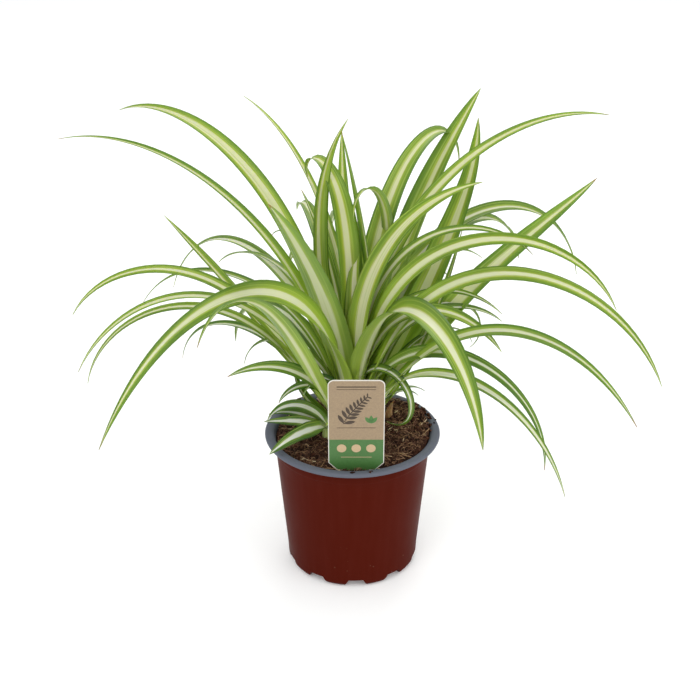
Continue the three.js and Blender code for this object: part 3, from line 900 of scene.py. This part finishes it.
def scatter_fibres(draw, count, surface):
    """Coir fibres, most short and dark, with some long pale straws."""
    thread = fibre_template()
    made = []
    for index in range(count):
        straw = index < count * STRAW["share"]
        ease = STRAW["ease"] if straw else 1
        away, turn = surface[2] * 0.97 * math.sqrt(draw.random()), draw.uniform(0, 2 * math.pi)
        x, y = away * math.cos(turn), away * math.sin(turn)
        if straw:
            length = draw.uniform(*STRAW["length"])
        else:
            length = FIBRE["least"] + FIBRE["spread"] * draw.random() ** 2
        thick = draw.uniform(*(STRAW if straw else FIBRE)["thick"])
        facing = draw.uniform(0, 2 * math.pi)
        curve = draw.uniform(-FIBRE["curve"], FIBRE["curve"]) * ease
        tilt = draw.uniform(*FIBRE["tilt"])
        hump = draw.uniform(0.0, FIBRE["hump"]) * ease
        points = []
        for vertex in thread.data.vertices:
            share = vertex.co.z
            angle = facing + curve * share
            ahead = share * length
            px = x + ahead * math.cos(angle) - vertex.co.x * thick * math.sin(angle)
            py = y + ahead * math.sin(angle) + vertex.co.x * thick * math.cos(angle)
            far = math.hypot(px, py)
            # a fibre stays off the wall, except where the heap carries it over the lip
            limit = surface[2] - 0.4 + 3.2 * heap(px, py)
            if far > limit:
                px, py = px * limit / far, py * limit / far
            bed = soil_height(px, py, *surface)
            lift = FIBRE["lift"] + hump * math.cos(math.pi * share) + max(0, tilt * ahead)
            points.append((px, py, bed + lift + vertex.co.y * thick))
        fibre = copy_of(thread, points)
        shade = draw.uniform(0.85, 1.0) if straw else draw.random() ** 1.1 * 0.88
        fibre.data.attributes["draw"].data.foreach_set("value", [shade] * len(points))
        made.append(fibre)
    discard(thread)
    return join(made, "coir_fibres")


class PLANT_OT_label(bpy.types.Operator):
    """Cuts the stake label and lays its print"""

    bl_idname = "plant.label"
    bl_label = "Plant label"

    def execute(self, context):
        plate = label_plate()
        finish_piece(plate, label_material(), ["plant_label"], smooth_angle=40)
        plate.data.materials.append(printing_ink("white_print", "CFCBC2"))
        for face in plate.data.polygons:
            if face.material_index == 0 and plate.data.attributes["border"].data[
                    face.index].value:
                face.material_index = 1
        for name, colour, shapes in (
                ("label_print_dark", "43372C", dark_print()),
                ("label_print_green", "47703A", green_print()),
                ("label_print_pale", "B29A78", pale_print())):
            piece = print_piece(name, shapes)
            finish_piece(piece, printing_ink(name + "_ink", colour),
                         smooth_angle=40)
        return {"FINISHED"}


LABEL = {"x": 2.4, "y": -49.3, "z": 100, "lean": 4.5, "width": 36.3, "thickness": 0.7,
         "top": 66.5, "shoulder": 3, "chamfer": 6, "corner": 4, "stake": 16, "point": 9,
         "bottom": -33, "border": 0.55, "green_top": 21.3}


def label_place():
    """Where the label stands: its own frame has X across and Z up its face."""
    return (Matrix.Translation((LABEL["x"] * MM, LABEL["y"] * MM, LABEL["z"] * MM))
            @ Matrix.Rotation(math.radians(LABEL["lean"]), 4, "X"))


def flat_face(outline, front):
    """One upright face: (x, z) corners in mm, at a distance along Y."""
    bpy.ops.object.select_all(action="DESELECT")
    bpy.ops.mesh.primitive_circle_add(vertices=len(outline), fill_type="NGON")
    face = bpy.context.object
    for vertex, (x, z) in zip(face.data.vertices, outline):
        vertex.co = (x * MM, front * MM, z * MM)
    bpy.ops.object.mode_set(mode="EDIT")
    bpy.ops.mesh.select_all(action="SELECT")
    bpy.ops.mesh.normals_make_consistent(inside=False)
    bpy.ops.object.mode_set(mode="OBJECT")
    return face


def label_plate():
    """The plastic plate with its rounded top, chamfered foot and stake."""
    half, top = LABEL["width"] / 2, LABEL["top"]
    shoulder, chamfer, corner = LABEL["shoulder"], LABEL["chamfer"], LABEL["corner"]
    stake, point, bottom = LABEL["stake"] / 2, LABEL["point"], LABEL["bottom"]
    waist = shoulder - chamfer
    right = [(2, bottom), (stake, bottom + point), (stake, waist), (half - chamfer, waist),
             (half, shoulder)]
    right += arc((half - corner, top - corner), corner, 0, 90, 10)
    plate = flat_face(right + [(-x, z) for x, z in reversed(right)], 0)
    plate.data.attributes.new("border", "BOOLEAN", "FACE")
    bpy.ops.object.mode_set(mode="EDIT")
    bpy.ops.mesh.select_all(action="SELECT")
    bpy.ops.mesh.inset(thickness=LABEL["border"] * MM, use_even_offset=True)
    bpy.ops.object.mode_set(mode="OBJECT")
    border = plate.data.attributes["border"]
    for face in plate.data.polygons:
        border.data[face.index].value = not face.select
    apply_modifier(plate, "SOLIDIFY", thickness=LABEL["thickness"] * MM, offset=0)
    chart = plate.data.uv_layers.new(name="face")
    for loop in plate.data.loops:
        x, _, z = plate.data.vertices[loop.vertex_index].co / MM
        chart.data[loop.index].uv = (x / LABEL["width"] + 0.5, z / LABEL["top"])
    apply_modifier(plate, "BEVEL", width=0.15 * MM, segments=2, limit_method="ANGLE")
    plate.name = plate.data.name = "label_plate"
    plate.data.transform(label_place())
    return plate


def print_piece(name, shapes):
    """Thin layers of ink on the label's face, one for each outline of (x, z) points."""
    front = -LABEL["thickness"] / 2 - 0.05
    piece = join([flat_face(outline, front) for outline in shapes], name)
    apply_modifier(piece, "SOLIDIFY", thickness=0.08 * MM, offset=0)
    piece.data.transform(label_place())
    return piece


def bar(x, z, width, height):
    """The outline of a ruled line."""
    return [(x - width / 2, z - height / 2), (x + width / 2, z - height / 2),
            (x + width / 2, z + height / 2), (x - width / 2, z + height / 2)]


def printed_leaf(x, z, length, turn, width=0.34):
    """The outline of a pointed leaf that starts at a place and grows in a direction."""
    steps = 9
    sides = []
    for side in (1, -1):
        bulge = side * width * length / 2
        line = [(length * i / steps, bulge * math.sin(math.pi * i / steps) ** 0.8)
                for i in range(steps)]
        sides.append(line if side > 0 else [(length, 0)] + line[:0:-1])
    angle = math.radians(turn)
    return [(x + u * math.cos(angle) - v * math.sin(angle),
             z + u * math.sin(angle) + v * math.cos(angle)) for u, v in sides[0] + sides[1]]


# The printed frond: where its stem starts, how far it leans and rises, how many pairs of
# leaves it has, and how long the first one is and how much the last is shorter.
FROND = {"x": -8, "z": 34, "across": 15, "up": 20, "pairs": 9, "leaf": 7.5, "shorter": 4.5}


def on_stem(share):
    """A place on the frond's stem."""
    return (FROND["x"] + FROND["across"] * share, FROND["z"] + FROND["up"] * share ** 0.8)


def dark_print():
    """A double rule at the top, and a fern frond that leans over the middle."""
    shapes = [bar(0, 61.5, 25, 0.7), bar(0, 59.6, 25, 0.3), bar(0, 30.5, 25, 0.3)]
    for i in range(FROND["pairs"]):
        share = i / (FROND["pairs"] - 1)
        size = FROND["leaf"] - FROND["shorter"] * share
        heading_out = 62 - 30 * share
        for turn in (58, -52):
            shapes.append(printed_leaf(*on_stem(share), size, heading_out + turn))
    shapes += [bar(*on_stem(i / 24), 0.9, 0.9) for i in range(25)]
    return shapes


def green_print():
    """Three small leaves over the green field."""
    return [printed_leaf(9.5, 34, 6, turn, 0.45) for turn in (50, 90, 130)]


def pale_print():
    """A row of discs and a rule on the green field."""
    discs = [arc((x, 14.5), 3.1, 0, 345, 23) for x in (-9.5, 0, 9.5)]
    return discs + [bar(0, 7.6, 20, 0.35)]


def printing_ink(name, colour):
    """Offset ink on the plastic, a little duller than the plate, with pale flecks."""
    material, tree = new_material(name)
    place = add_node(tree, "TexCoord").outputs["Object"]
    # the flecks of the uncoated look are 0.8 mm
    flecks = add_node(tree, "TexNoise", {"Vector": place, "Scale": 1 / (0.8 * MM),
                                         "Detail": 3.0})
    base = linear(colour)
    lighter = [min(1, c * 1.3 + 0.01) for c in base[:3]] + [1]
    mix = add_node(tree, "MixRGB", {0: flecks, 1: base, 2: lighter})
    bump = add_node(tree, "Bump", {"Height": flecks, "Distance": 0.02 * MM, "Strength": 0.4})
    shader = add_node(tree, "BsdfPrincipled", {
        "Base Color": mix, "Roughness": 0.5, "Normal": bump, "Specular IOR Level": 0.3})
    add_node(tree, "OutputMaterial", {0: shader})
    return material


def label_material():
    """Printed polystyrene tag: kraft-coloured above, a green field below, a white edge."""
    material, tree = new_material("printed_tag")
    face = add_node(tree, "SeparateXYZ", {0: add_node(tree, "UVMap", uv_map="face")})
    place = add_node(tree, "TexCoord").outputs["Object"]
    # the print imitates kraft paper, whose flecks are about 1 mm long
    flecks = add_node(tree, "TexNoise", {"Vector": place, "Scale": 1 / (1.1 * MM),
                                         "Detail": 4.0})
    kraft = add_node(tree, "MixRGB", {0: flecks, 1: linear("84705A"), 2: linear("A8916F")})
    green = add_node(tree, "MixRGB", {0: flecks, 1: linear("39632C"), 2: linear("4B783B")})
    low = add_node(tree, "MapRange", {
        0: face.outputs[1], 1: LABEL["green_top"] / LABEL["top"] - 0.003,
        2: LABEL["green_top"] / LABEL["top"] + 0.003})
    body = add_node(tree, "MixRGB", {0: low, 1: green, 2: kraft})
    shader = add_node(tree, "BsdfPrincipled", {"Base Color": body, "Roughness": 0.45})
    add_node(tree, "OutputMaterial", {0: shader})
    return material


class PLANT_OT_crown(bpy.types.Operator):
    """Grows the crown, tuft by tuft"""

    bl_idname = "plant.crown"
    bl_label = "Crown of leaves"

    def execute(self, context):
        material = leaf_material(context.scene.plant_leaf)
        # the piece, its leaves, the tuft they grow in and the seed of their small wanders
        tufts = (("left_tuft_leaves", LEFT_LEAVES, "left", 11),
                 ("right_tuft_leaves", RIGHT_LEAVES, "right", 12),
                 ("back_tuft_leaves", BACK_LEAVES, "back", 13),
                 ("far_side_leaves", far_rows(), "back", 14))
        for name, rows, tuft, seed in tufts:
            piece = bunch(name, rows, TUFTS[tuft], CROWN["ring"], CROWN["leaf_root"], seed)
            finish_piece(piece, material, ["crown_leaves"])
        heart = crown_heart("crown_heart", CROWN)
        finish_piece(heart, material, ["crown_leaves"])
        shoot = bunch("left_shoot_leaves", LEFT_SHOOT_LEAVES, (LEFT_SHOOT["x"], LEFT_SHOOT["y"]),
                      LEFT_SHOOT["ring"], LEFT_SHOOT["leaf_root"], 15)
        finish_piece(shoot, material, ["left_shoot"])
        base = crown_heart("left_shoot_heart", LEFT_SHOOT)
        finish_piece(base, material, ["left_shoot"])
        return {"FINISHED"}


def crown_heart(name, shoot):
    """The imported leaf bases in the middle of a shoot, ribbed where one clasps the next."""
    radius, foot, top = shoot["radius"], shoot["foot"], shoot["top"]
    tall = top - foot
    outline = [(0, foot), (radius * 0.95, foot), (radius, foot + tall * 0.15),
               (radius * 0.97, foot + tall * 0.4), (radius * 0.8, foot + tall * 0.65),
               (radius * 0.5, foot + tall * 0.88), (0, top)]
    heart = turned(name, outline, 96)
    chart = heart.data.uv_layers.new(name="blade")
    for vertex in heart.data.vertices:
        turn = math.atan2(vertex.co.y, vertex.co.x)
        rib = 1 - 0.10 * abs(math.sin(turn * 5.5 + vertex.co.z / MM * 0.03)) ** 0.5
        vertex.co.x *= rib
        vertex.co.y *= rib
    for loop in heart.data.loops:
        co = heart.data.vertices[loop.vertex_index].co
        turn = math.atan2(co.y, co.x) / (2 * math.pi)
        chart.data[loop.index].uv = ((co.z / MM - foot) / tall * 0.12, (turn * 11) % 1)
    # the tone, age and band of the bases, which are seen from their outer side
    draws = heart.data.attributes.new("leaf_draws", "FLOAT_COLOR", "POINT")
    draws.data.foreach_set("color", [0.3, 0.2, 0.6, 0.0] * len(heart.data.vertices))
    heart.data.transform(Matrix.Translation((shoot["x"] * MM, shoot["y"] * MM, 0)))
    heart.name = heart.data.name = name
    return heart


class PLANT_OT_sheath(bpy.types.Operator):
    """Adds the dried leaf bases at the foot of the crown"""

    bl_idname = "plant.sheath"
    bl_label = "Dried sheaths"

    def execute(self, context):
        template = blade_template()
        draw = random.Random(5)
        made = [leaf(template, row, spot, SHEATH_RING, SHEATH_ROOT, draw)
                for row, spot in SHEATHS]
        discard(template)
        finish_piece(join(made, "dried_sheaths"), sheath_material())
        return {"FINISHED"}


# The camera, in degrees and mm: its height over the level, its distance, what it looks at,
# its sensor, and its focal length and the picture's width in pixels.
CAMERA = {"rise": 26.3, "distance": 900, "target": (-1.65, 0, 160.4), "sensor": 36,
          "focal_pixels": 1350, "picture_pixels": 700}
# Studio lights, in metres and watts: place, size and power; all face the plant's middle.
LAMPS = (("key_light", (-0.5, -1.1, 1.5), 0.9, 9),
         ("fill_light", (1.1, -0.7, 0.9), 1.2, 6),
         ("back_light", (0.2, 1.2, 1.3), 1.0, 7))
LIT_MIDDLE = (0, 0, 0.16)
SKY_STRENGTH = 0.84


class PLANT_OT_stage(bpy.types.Operator):
    """Sets the floor, the studio lights and the camera"""

    bl_idname = "plant.stage"
    bl_label = "Stage"

    def execute(self, context):
        bpy.ops.object.select_all(action="DESELECT")
        bpy.ops.mesh.primitive_plane_add(size=8)
        floor = context.object
        floor.name = "studio_floor"
        material, tree = new_material("matt_white_paper")
        shader = add_node(tree, "BsdfPrincipled", {
            "Base Color": linear("F4F4F2"), "Roughness": 0.95,
            "Emission Color": linear("FFFFFF"), "Emission Strength": 0.16})
        add_node(tree, "OutputMaterial", {0: shader})
        floor.data.materials.append(material)

        scene = context.scene
        world = bpy.data.worlds.new("studio")
        scene.world = world
        world.use_nodes = True
        sky = world.node_tree.nodes["Background"]
        sky.inputs[0].default_value = linear("FBFCFF")
        sky.inputs[1].default_value = SKY_STRENGTH
        middle = Vector(LIT_MIDDLE)
        for name, place, size, power in LAMPS:
            bpy.ops.object.light_add(type="AREA", location=place)
            lamp = context.object
            lamp.name = name
            lamp.data.size = size
            lamp.data.energy = power
            lamp.rotation_euler = (middle - Vector(place)).to_track_quat("-Z", "Y").to_euler()

        bpy.ops.object.camera_add()
        camera = context.object
        camera.name = "product_camera"
        rise, distance = math.radians(CAMERA["rise"]), CAMERA["distance"] * MM
        target = Vector([c * MM for c in CAMERA["target"]])
        camera.location = target + distance * Vector((0, -math.cos(rise), math.sin(rise)))
        camera.rotation_euler = (target - camera.location).to_track_quat("-Z", "Y").to_euler()
        camera.data.sensor_width = CAMERA["sensor"]
        camera.data.lens = CAMERA["sensor"] * CAMERA["focal_pixels"] / CAMERA["picture_pixels"]
        scene.camera = camera
        scene.view_settings.view_transform = "Standard"
        return {"FINISHED"}


class PLANT_PT_panel(bpy.types.Panel):
    """Lists the plant's pieces and settings"""

    bl_idname = "PLANT_PT_panel"
    bl_label = "Spider plant"
    bl_space_type = "VIEW_3D"
    bl_region_type = "UI"
    bl_category = "Plant"

    def draw(self, context):
        for group in ("plant_pot", "plant_soil", "plant_leaf"):
            settings = getattr(context.scene, group)
            box = self.layout.box()
            for name in settings.__annotations__:
                box.prop(settings, name)
        for operator in OPERATORS:
            self.layout.operator(operator.bl_idname)


OPERATORS = (PLANT_OT_pot, PLANT_OT_soil, PLANT_OT_label, PLANT_OT_crown, PLANT_OT_sheath,
             PLANT_OT_stage)
CLASSES = (PotSettings, LeafSettings, SoilSettings, *OPERATORS, PLANT_PT_panel)


def register():
    for cls in CLASSES:
        bpy.utils.register_class(cls)
    bpy.types.Scene.plant_pot = bpy.props.PointerProperty(type=PotSettings)
    bpy.types.Scene.plant_leaf = bpy.props.PointerProperty(type=LeafSettings)
    bpy.types.Scene.plant_soil = bpy.props.PointerProperty(type=SoilSettings)


def unregister():
    for name in ("plant_pot", "plant_leaf", "plant_soil"):
        delattr(bpy.types.Scene, name)
    for cls in reversed(CLASSES):
        bpy.utils.unregister_class(cls)


def main():
    register()
    bpy.ops.plant.pot()
    bpy.ops.plant.soil()
    bpy.ops.plant.label()
    bpy.ops.plant.crown()
    bpy.ops.plant.sheath()
    bpy.ops.plant.stage()


if __name__ == "__main__":
    main()
